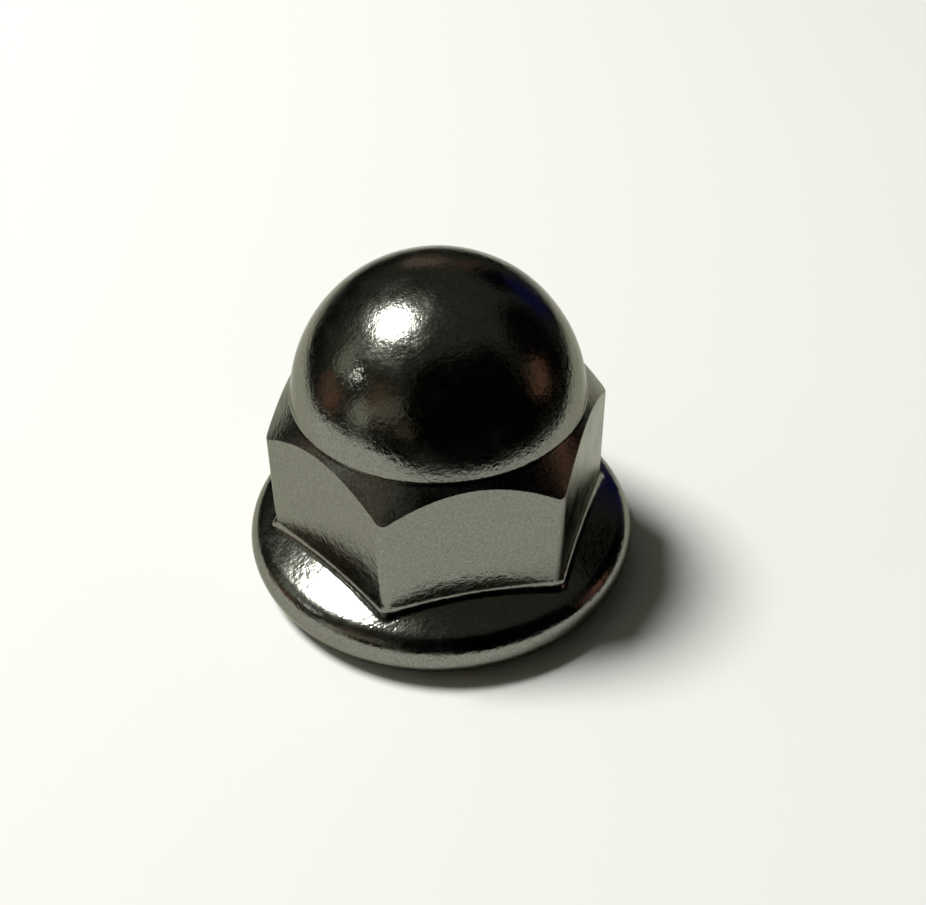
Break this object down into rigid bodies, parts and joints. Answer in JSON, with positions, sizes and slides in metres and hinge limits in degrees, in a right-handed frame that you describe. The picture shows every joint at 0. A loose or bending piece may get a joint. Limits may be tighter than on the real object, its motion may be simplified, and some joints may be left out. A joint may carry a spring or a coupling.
{
  "type": "flanged cap nut",
  "caption": "Hexagon cap nut with a closed dome and a round flange, threaded blind from below.",
  "frame": {"origin": "centre of the flange's flat bearing face, which clamps and on which the nut stands", "axes": "+Z along the thread's axis towards the dome's crown; two flats of the hexagon face +Y and -Y, so two corners lie on +X and -X"},
  "size_m": [0.0172, 0.0172, 0.015],
  "materials": {
    "polished_steel": "tumble-polished stainless steel, with fine ripple and small handling marks"
  },
  "bodies": {
    "root": {"cap_nut": "polished_steel"}
  },
  "joints": []
}
